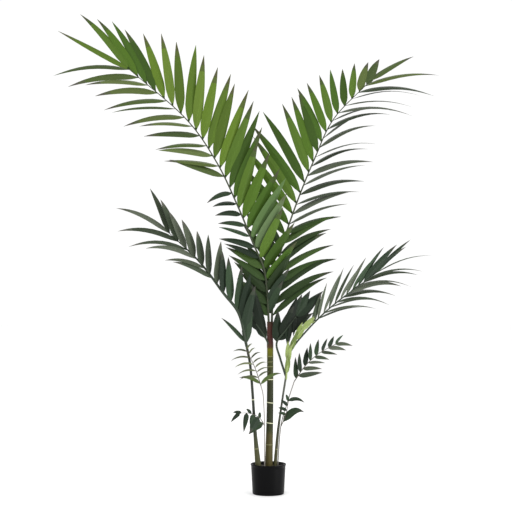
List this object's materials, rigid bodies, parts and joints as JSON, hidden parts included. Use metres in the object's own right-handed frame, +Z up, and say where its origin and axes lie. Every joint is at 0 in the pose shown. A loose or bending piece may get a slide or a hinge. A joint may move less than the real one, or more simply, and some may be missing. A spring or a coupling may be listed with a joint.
{
  "type": "artificial kentia palm in a pot",
  "caption": "Potted artificial kentia palm: a ringed cane with two tall feather fronds, side stems with lower fronds, thin shoots with small leaves, and a filled round nursery pot.",
  "frame": {"origin": "centre of the pot's flat underside", "axes": "+Z up along the pot's axis and the cane, -Y towards the front that the picture shows, +X to the right as seen from the front"},
  "size_m": [1.6847, 0.6339, 2.0647],
  "materials": {
    "pot": "matte black moulded nursery pot with a soft sheen",
    "pot_fill": "rough dark set fill",
    "cane": "painted cane, dark olive, with thin pale rings",
    "crownshaft": "red-brown leaf sheaths, satin",
    "side_stem": "dark green coated wire stem with pale rings, satin",
    "thin_shoot": "thin grey-brown wire stem, matte",
    "bright_leaf": "coated leaf fabric, fresh green, satin",
    "dark_leaf": "coated leaf fabric, dark grey-green, satin",
    "pale_leaf": "young folded leaf, pale yellow-green, satin",
    "small_leaf": "small coated fabric leaves, olive green, satin"
  },
  "bodies": {
    "root": {"pot": "pot", "pot_fill": "pot_fill", "trunk": "cane", "crownshaft": "crownshaft", "left_stem": "side_stem", "right_stem": "side_stem", "left_shoot": "thin_shoot", "right_shoot": "thin_shoot", "frond_upper_left": "bright_leaf", "frond_upper_right": "bright_leaf", "frond_lower_left": "dark_leaf", "frond_lower_right": "dark_leaf", "heart_left": "dark_leaf", "heart_right": "dark_leaf", "young_leaf": "pale_leaf", "small_frond_left": "small_leaf", "small_frond_right": "small_leaf", "base_sprout_left": "small_leaf", "base_sprout_right": "small_leaf"}
  },
  "joints": []
}
